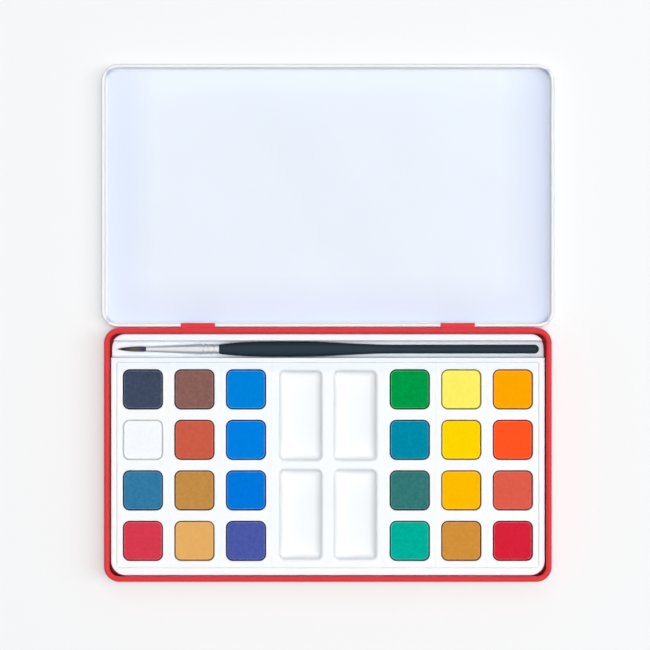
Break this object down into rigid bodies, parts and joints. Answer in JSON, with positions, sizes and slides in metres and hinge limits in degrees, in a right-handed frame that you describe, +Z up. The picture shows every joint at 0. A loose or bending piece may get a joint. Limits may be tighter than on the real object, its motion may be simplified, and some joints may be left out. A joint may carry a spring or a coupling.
{
  "type": "watercolour paint set",
  "caption": "Flat hinged tin of pressed watercolour cakes in lift-out strips, with a mixing palette, a brush in its groove and a lid that opens flat as a second palette.",
  "frame": {"origin": "middle of the lower tin's flat bottom, on the table", "axes": "+X along the brush from its hair to its handle's end, +Y from the front towards the open lid, +Z up"},
  "size_m": [0.2248, 0.2564, 0.0154],
  "materials": {
    "red_tin": "gloss",
    "white_tin": "gloss",
    "white_plastic": "satin",
    "lacquered_wood": "gloss",
    "bright_metal": "polished",
    "dark_hair": "matte",
    "paint_charcoal": "matte",
    "paint_umber": "matte",
    "paint_cerulean": "matte",
    "paint_sap_green": "matte",
    "paint_lemon_yellow": "matte",
    "paint_orange": "matte",
    "paint_white": "matte",
    "paint_burnt_sienna": "matte",
    "paint_cobalt_blue": "matte",
    "paint_turquoise": "matte",
    "paint_golden_yellow": "matte",
    "paint_vermilion": "matte",
    "paint_prussian_blue": "matte",
    "paint_raw_sienna": "matte",
    "paint_sky_blue": "matte",
    "paint_viridian": "matte",
    "paint_deep_yellow": "matte",
    "paint_light_red": "matte",
    "paint_crimson": "matte",
    "paint_yellow_ochre": "matte",
    "paint_ultramarine": "matte",
    "paint_emerald": "matte",
    "paint_bronze": "matte",
    "paint_scarlet": "matte"
  },
  "bodies": {
    "base": {"tin_base": "red_tin"},
    "lid": {"tin_lid": "white_tin"},
    "tray": {"tray": "white_plastic"},
    "brush": {"brush_handle": "lacquered_wood", "brush_ferrule": "bright_metal", "brush_hair": "dark_hair"},
    "palette": {"palette": "white_plastic"},
    "strip_1": {"pan_strip_1": "white_plastic", "cake_charcoal": "paint_charcoal", "cake_white": "paint_white", "cake_prussian_blue": "paint_prussian_blue", "cake_crimson": "paint_crimson"},
    "strip_2": {"pan_strip_2": "white_plastic", "cake_umber": "paint_umber", "cake_burnt_sienna": "paint_burnt_sienna", "cake_raw_sienna": "paint_raw_sienna", "cake_yellow_ochre": "paint_yellow_ochre"},
    "strip_3": {"pan_strip_3": "white_plastic", "cake_cerulean": "paint_cerulean", "cake_cobalt_blue": "paint_cobalt_blue", "cake_sky_blue": "paint_sky_blue", "cake_ultramarine": "paint_ultramarine"},
    "strip_4": {"pan_strip_4": "white_plastic", "cake_sap_green": "paint_sap_green", "cake_turquoise": "paint_turquoise", "cake_viridian": "paint_viridian", "cake_emerald": "paint_emerald"},
    "strip_5": {"pan_strip_5": "white_plastic", "cake_lemon_yellow": "paint_lemon_yellow", "cake_golden_yellow": "paint_golden_yellow", "cake_deep_yellow": "paint_deep_yellow", "cake_bronze": "paint_bronze"},
    "strip_6": {"pan_strip_6": "white_plastic", "cake_orange": "paint_orange", "cake_vermilion": "paint_vermilion", "cake_light_red": "paint_light_red", "cake_scarlet": "paint_scarlet"}
  },
  "joints": [
    {"name": "lid_hinge", "type": "hinge", "parent": "base", "child": "lid", "pos_m": [0, 0.064, 0.008], "axis": [-1, 0, 0], "range_deg": [-180, 0]},
    {"name": "tray_lift", "type": "slide", "parent": "base", "child": "tray", "axis": [0, 0, 1], "range_m": [0, 0.03]},
    {"name": "brush_lift", "type": "slide", "parent": "tray", "child": "brush", "axis": [0, 0, 1], "range_m": [0, 0.03]},
    {"name": "palette_lift", "type": "slide", "parent": "tray", "child": "palette", "axis": [0, 0, 1], "range_m": [0, 0.03]},
    {"name": "strip_1_lift", "type": "slide", "parent": "tray", "child": "strip_1", "axis": [0, 0, 1], "range_m": [0, 0.03]},
    {"name": "strip_2_lift", "type": "slide", "parent": "tray", "child": "strip_2", "axis": [0, 0, 1], "range_m": [0, 0.03]},
    {"name": "strip_3_lift", "type": "slide", "parent": "tray", "child": "strip_3", "axis": [0, 0, 1], "range_m": [0, 0.03]},
    {"name": "strip_4_lift", "type": "slide", "parent": "tray", "child": "strip_4", "axis": [0, 0, 1], "range_m": [0, 0.03]},
    {"name": "strip_5_lift", "type": "slide", "parent": "tray", "child": "strip_5", "axis": [0, 0, 1], "range_m": [0, 0.03]},
    {"name": "strip_6_lift", "type": "slide", "parent": "tray", "child": "strip_6", "axis": [0, 0, 1], "range_m": [0, 0.03]}
  ]
}
